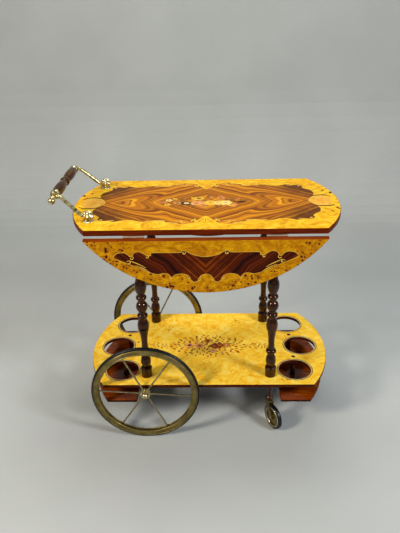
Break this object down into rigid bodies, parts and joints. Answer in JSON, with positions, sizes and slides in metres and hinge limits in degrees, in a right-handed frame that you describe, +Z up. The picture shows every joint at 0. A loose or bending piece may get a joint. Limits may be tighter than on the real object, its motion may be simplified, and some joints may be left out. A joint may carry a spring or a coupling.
{
  "type": "serving trolley",
  "caption": "Drop-leaf serving trolley with a round inlaid top, turned legs, a lower shelf with bottle holes, spoked wheels, swivel casters and a turned push handle.",
  "frame": {"origin": "on the floor, under the middle of the overall length and width", "axes": "+X along the length away from the handle, +Y from the front leaf to the rear leaf, +Z up"},
  "size_m": [0.737, 0.441, 0.698],
  "materials": {
    "burl_veneer": "high-gloss lacquered burl veneer with dark inlaid panels",
    "turned_walnut": "dark stained, turned and gloss lacquered",
    "red_veneer": "gloss lacquered red-brown veneer",
    "aged_brass": "aged olive brass",
    "polished_brass": "polished cast brass",
    "hinge_brass": "pressed sheet brass",
    "bright_steel": "plain steel",
    "black_rubber": "matt black rubber"
  },
  "bodies": {
    "stand": {"top_board": "burl_veneer", "lower_shelf": "burl_veneer", "left_bottle_rest": "red_veneer", "right_bottle_rest": "red_veneer", "left_rest_posts": "turned_walnut", "right_rest_posts": "turned_walnut", "axle": "bright_steel", "hinge_screws": "bright_steel", "handle_grip": "turned_walnut", "handle_rod": "polished_brass", "front_left_leg": "turned_walnut", "front_left_hinge_fixed": "hinge_brass", "front_right_leg": "turned_walnut", "front_right_hinge_fixed": "hinge_brass", "front_hinge_pins": "bright_steel", "front_support_screw": "bright_steel", "front_axle_block": "turned_walnut", "front_caster_stub": "turned_walnut", "front_wheel_cap": "aged_brass", "front_caster_socket": "aged_brass", "front_handle_bracket": "polished_brass", "front_handle_arm": "polished_brass", "rear_left_leg": "turned_walnut", "rear_left_hinge_fixed": "hinge_brass", "rear_right_leg": "turned_walnut", "rear_right_hinge_fixed": "hinge_brass", "rear_hinge_pins": "bright_steel", "rear_support_screw": "bright_steel", "rear_axle_block": "turned_walnut", "rear_caster_stub": "turned_walnut", "rear_wheel_cap": "aged_brass", "rear_caster_socket": "aged_brass", "rear_handle_bracket": "polished_brass", "rear_handle_arm": "polished_brass"},
    "front_leaf": {"front_leaf": "burl_veneer", "front_leaf_screws": "bright_steel", "front_left_hinge_moving": "hinge_brass", "front_right_hinge_moving": "hinge_brass"},
    "front_support": {"front_support_arm": "bright_steel"},
    "front_wheel": {"front_wheel_tyre": "black_rubber", "front_wheel_rim": "aged_brass", "front_wheel_spokes": "aged_brass", "front_wheel_hub": "aged_brass"},
    "front_caster_swivel": {"front_caster_fork": "aged_brass", "front_caster_pin": "bright_steel"},
    "front_caster_roller": {"front_caster_wheel": "aged_brass", "front_caster_tyre": "black_rubber"},
    "rear_leaf": {"rear_leaf": "burl_veneer", "rear_leaf_screws": "bright_steel", "rear_left_hinge_moving": "hinge_brass", "rear_right_hinge_moving": "hinge_brass"},
    "rear_support": {"rear_support_arm": "bright_steel"},
    "rear_wheel": {"rear_wheel_tyre": "black_rubber", "rear_wheel_rim": "aged_brass", "rear_wheel_spokes": "aged_brass", "rear_wheel_hub": "aged_brass"},
    "rear_caster_swivel": {"rear_caster_fork": "aged_brass", "rear_caster_pin": "bright_steel"},
    "rear_caster_roller": {"rear_caster_wheel": "aged_brass", "rear_caster_tyre": "black_rubber"}
  },
  "joints": [
    {"name": "front_leaf_fold", "type": "hinge", "parent": "stand", "child": "front_leaf", "pos_m": [0.0185, -0.19335, 0.6059], "axis": [-1, 0, 0], "range_deg": [-8, 99.3]},
    {"name": "front_support_swing", "type": "hinge", "parent": "stand", "child": "front_support", "pos_m": [0.0685, -0.08835, 0.6071], "axis": [0, 0, 1], "range_deg": [0, 90]},
    {"name": "front_wheel_spin", "type": "hinge", "parent": "stand", "child": "front_wheel", "pos_m": [-0.1525, -0.1997, 0.1474], "axis": [0, 1, 0], "continuous": true},
    {"name": "front_caster_turn", "type": "hinge", "parent": "stand", "child": "front_caster_swivel", "pos_m": [0.1895, -0.145, 0.077], "axis": [0, 0, 1], "continuous": true},
    {"name": "front_caster_roll", "type": "hinge", "parent": "front_caster_swivel", "child": "front_caster_roller", "pos_m": [0.20025, -0.16362, 0.0367], "axis": [0.866, 0.5, 0], "continuous": true},
    {"name": "rear_leaf_fold", "type": "hinge", "parent": "stand", "child": "rear_leaf", "pos_m": [0.0185, 0.19335, 0.6059], "axis": [1, 0, 0], "range_deg": [-8, 99.3]},
    {"name": "rear_support_swing", "type": "hinge", "parent": "stand", "child": "rear_support", "pos_m": [-0.0315, 0.08835, 0.6071], "axis": [0, 0, 1], "range_deg": [0, 90]},
    {"name": "rear_wheel_spin", "type": "hinge", "parent": "stand", "child": "rear_wheel", "pos_m": [-0.1525, 0.1997, 0.1474], "axis": [0, 1, 0], "continuous": true},
    {"name": "rear_caster_turn", "type": "hinge", "parent": "stand", "child": "rear_caster_swivel", "pos_m": [0.1895, 0.145, 0.077], "axis": [0, 0, 1], "continuous": true},
    {"name": "rear_caster_roll", "type": "hinge", "parent": "rear_caster_swivel", "child": "rear_caster_roller", "pos_m": [0.19506, 0.12423, 0.0367], "axis": [0.9659, 0.2588, 0], "continuous": true}
  ]
}
